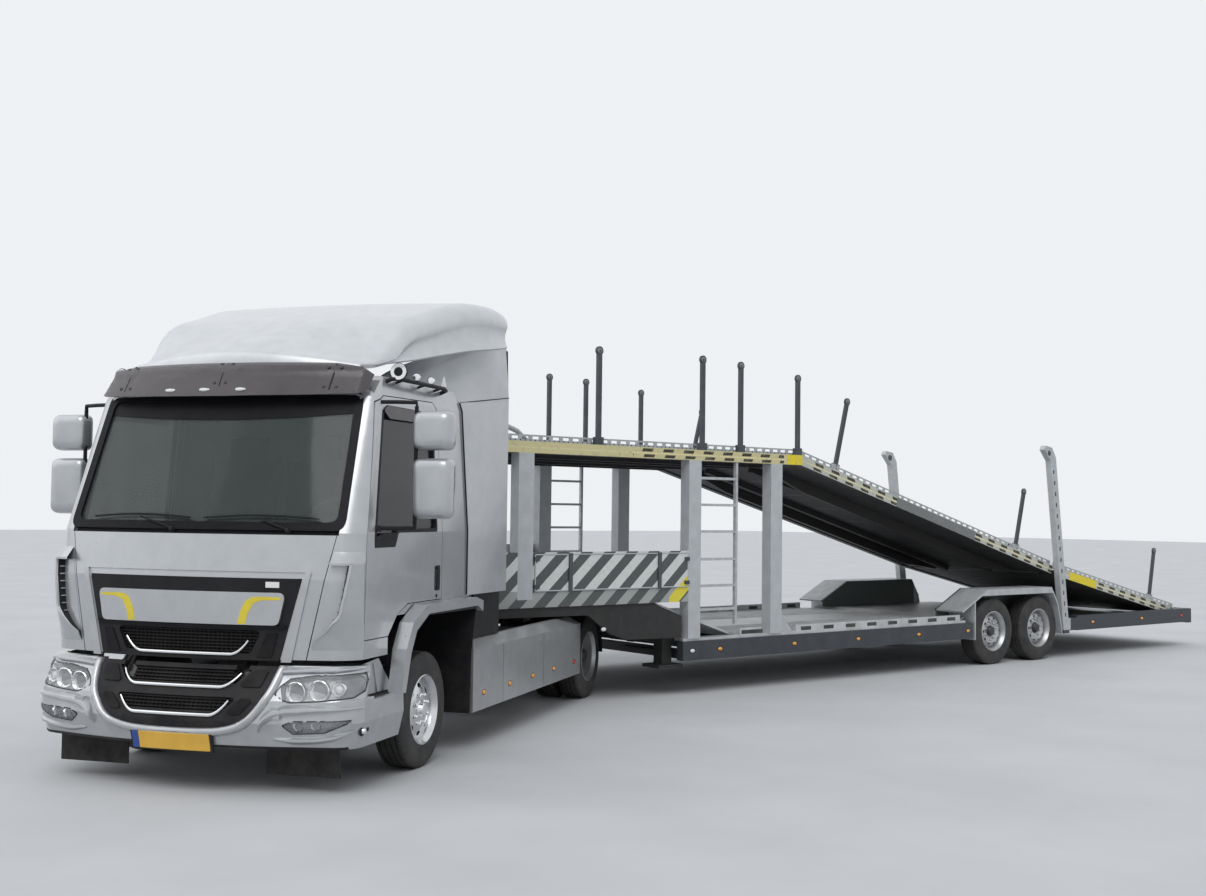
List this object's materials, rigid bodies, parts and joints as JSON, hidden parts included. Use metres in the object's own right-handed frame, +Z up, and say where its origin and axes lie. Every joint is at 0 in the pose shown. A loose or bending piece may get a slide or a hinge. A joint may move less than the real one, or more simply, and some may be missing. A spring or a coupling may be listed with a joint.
{
  "type": "car transporter truck",
  "caption": "Light tractor unit with a lowered two-deck car transporter semi-trailer: hinged coupling, tilting cab, steering, doors, wheels and a lowered rear ramp.",
  "frame": {"origin": "on the ground, in the middle of the bent lorry's bounding box", "axes": "+X forward along the trailer, +Y to its left, +Z up; the tractor is turned 35 degrees to the left about the kingpin"},
  "size_m": [15.3185, 4.8368, 3.2698],
  "materials": {
    "cab_paint": "metallic silver paint",
    "spoiler_paint": "pale silver paint",
    "black_plastic": "grained black plastic",
    "chassis_black": "satin black chassis paint",
    "glass": "clear slightly green glass",
    "visor": "smoked acrylic",
    "seat_fabric": "dark woven fabric",
    "lamp_glass": "clear lamp lens",
    "mirror_paint": "painted mirror housings",
    "tyre": "black rubber",
    "wheel_steel": "silver painted steel",
    "rubber": "black rubber sheet",
    "galvanised": "galvanised and grey painted steel",
    "deck_paint": "yellow and black banded edge on galvanised steel",
    "panel_paint": "white and dark grey diagonal stripes",
    "anthracite": "anthracite paint",
    "floor_metal": "worn pale tread plate",
    "engine_iron": "cast iron"
  },
  "bodies": {
    "chassis": {"tractor_frame": "chassis_black", "engine": "engine_iron", "fifth_wheel": "chassis_black", "front_axle": "chassis_black", "rear_axle": "chassis_black", "chassis_tanks": "chassis_black", "bumper": "cab_paint", "lower_grille": "black_plastic", "headlamps": "lamp_glass", "front_arches": "cab_paint", "mudguards": "black_plastic", "front_flaps": "rubber", "side_skirts": "cab_paint"},
    "cab": {"cab_shell": "cab_paint", "windscreen": "glass", "seats": "seat_fabric", "dashboard": "black_plastic", "sun_visor": "visor", "roof_spoiler": "spoiler_paint", "side_deflectors": "spoiler_paint"},
    "front_lid": {"front_lid": "cab_paint", "grille": "black_plastic"},
    "door_left": {"door_left": "cab_paint", "door_glass_left": "glass", "mirror_left": "mirror_paint"},
    "door_right": {"door_right": "cab_paint", "door_glass_right": "glass", "mirror_right": "mirror_paint"},
    "knuckle_left": {"knuckle_left": "chassis_black"},
    "knuckle_right": {"knuckle_right": "chassis_black"},
    "trailer": {"lower_frame": "anthracite", "floor_plates": "floor_metal", "gooseneck": "chassis_black", "landing_legs": "chassis_black", "side_panels": "panel_paint", "deck_posts": "galvanised", "ladders": "galvanised", "upper_deck": "deck_paint", "rear_frame": "galvanised", "fenders": "galvanised", "trailer_axles": "chassis_black", "guard_posts": "anthracite"},
    "ramp": {"ramp_main": "deck_paint"},
    "ramp_tail": {"ramp_tail": "deck_paint"},
    "front_wheel_left": {"front_tyre_left": "tyre", "front_rim_left": "wheel_steel"},
    "rear_wheels_left": {"rear_tyres_left": "tyre", "rear_rims_left": "wheel_steel"},
    "trailer_wheel_front_left": {"trailer_tyre_front_left": "tyre", "trailer_rim_front_left": "wheel_steel"},
    "trailer_wheel_back_left": {"trailer_tyre_back_left": "tyre", "trailer_rim_back_left": "wheel_steel"},
    "front_wheel_right": {"front_tyre_right": "tyre", "front_rim_right": "wheel_steel"},
    "rear_wheels_right": {"rear_tyres_right": "tyre", "rear_rims_right": "wheel_steel"},
    "trailer_wheel_front_right": {"trailer_tyre_front_right": "tyre", "trailer_rim_front_right": "wheel_steel"},
    "trailer_wheel_back_right": {"trailer_tyre_back_right": "tyre", "trailer_rim_back_right": "wheel_steel"}
  },
  "joints": [
    {"name": "fifth_wheel", "type": "hinge", "parent": "chassis", "child": "trailer", "pos_m": [3.221, -1.1485, 0.795], "axis": [0, 0, 1], "range_deg": [-15, 85]},
    {"name": "cab_tilt", "type": "hinge", "parent": "chassis", "child": "cab", "pos_m": [7.05709, 1.53756, 0.65], "axis": [-0.5736, 0.8192, 0], "range_deg": [0, 45]},
    {"name": "front_lid", "type": "hinge", "parent": "cab", "child": "front_lid", "pos_m": [6.88916, 1.41998, 1.8], "axis": [0.5736, -0.8192, 0], "range_deg": [0, 65]},
    {"name": "door_left", "type": "hinge", "parent": "cab", "child": "door_left", "pos_m": [6.272, 2.28918, 1.6], "axis": [0, 0, -1], "range_deg": [0, 70]},
    {"name": "door_right", "type": "hinge", "parent": "cab", "child": "door_right", "pos_m": [7.49486, 0.54274, 1.6], "axis": [0, 0, 1], "range_deg": [0, 70]},
    {"name": "steer_left", "type": "hinge", "parent": "chassis", "child": "knuckle_left", "pos_m": [5.69306, 1.55908, 0.384], "axis": [0, 0, 1], "range_deg": [-38, 38]},
    {"name": "steer_right", "type": "hinge", "parent": "chassis", "child": "knuckle_right", "pos_m": [6.61079, 0.24843, 0.384], "axis": [0, 0, 1], "range_deg": [-38, 38]},
    {"name": "front_wheel_left", "type": "hinge", "parent": "knuckle_left", "child": "front_wheel_left", "pos_m": [5.59269, 1.70243, 0.384], "axis": [-0.5736, 0.8192, 0], "continuous": true},
    {"name": "rear_wheels_left", "type": "hinge", "parent": "chassis", "child": "rear_wheels_left", "pos_m": [2.6114, -0.50106, 0.384], "axis": [-0.5736, 0.8192, 0], "continuous": true},
    {"name": "trailer_wheel_front_left", "type": "hinge", "parent": "trailer", "child": "trailer_wheel_front_left", "pos_m": [-3.219, -0.0415, 0.384], "axis": [0, 1, 0], "continuous": true},
    {"name": "trailer_wheel_back_left", "type": "hinge", "parent": "trailer", "child": "trailer_wheel_back_left", "pos_m": [-4.119, -0.0415, 0.384], "axis": [0, 1, 0], "continuous": true},
    {"name": "front_wheel_right", "type": "hinge", "parent": "knuckle_right", "child": "front_wheel_right", "pos_m": [6.71116, 0.10508, 0.384], "axis": [-0.5736, 0.8192, 0], "continuous": true},
    {"name": "rear_wheels_right", "type": "hinge", "parent": "chassis", "child": "rear_wheels_right", "pos_m": [3.6209, -1.94277, 0.384], "axis": [-0.5736, 0.8192, 0], "continuous": true},
    {"name": "trailer_wheel_front_right", "type": "hinge", "parent": "trailer", "child": "trailer_wheel_front_right", "pos_m": [-3.219, -2.2555, 0.384], "axis": [0, 1, 0], "continuous": true},
    {"name": "trailer_wheel_back_right", "type": "hinge", "parent": "trailer", "child": "trailer_wheel_back_right", "pos_m": [-4.119, -2.2555, 0.384], "axis": [0, 1, 0], "continuous": true},
    {"name": "ramp_lift", "type": "hinge", "parent": "trailer", "child": "ramp", "pos_m": [0.006, -1.1485, 2.262], "axis": [0, 1, 0], "range_deg": [0, 14.9]},
    {"name": "tail_lift", "type": "hinge", "parent": "ramp", "child": "ramp_tail", "pos_m": [-4.53597, -1.1485, 1.05348], "axis": [0, 1, 0], "range_deg": [0, 15]}
  ],
  "couplings": [
    {"joint": "steer_right", "follows": "steer_left", "ratio": 1}
  ]
}
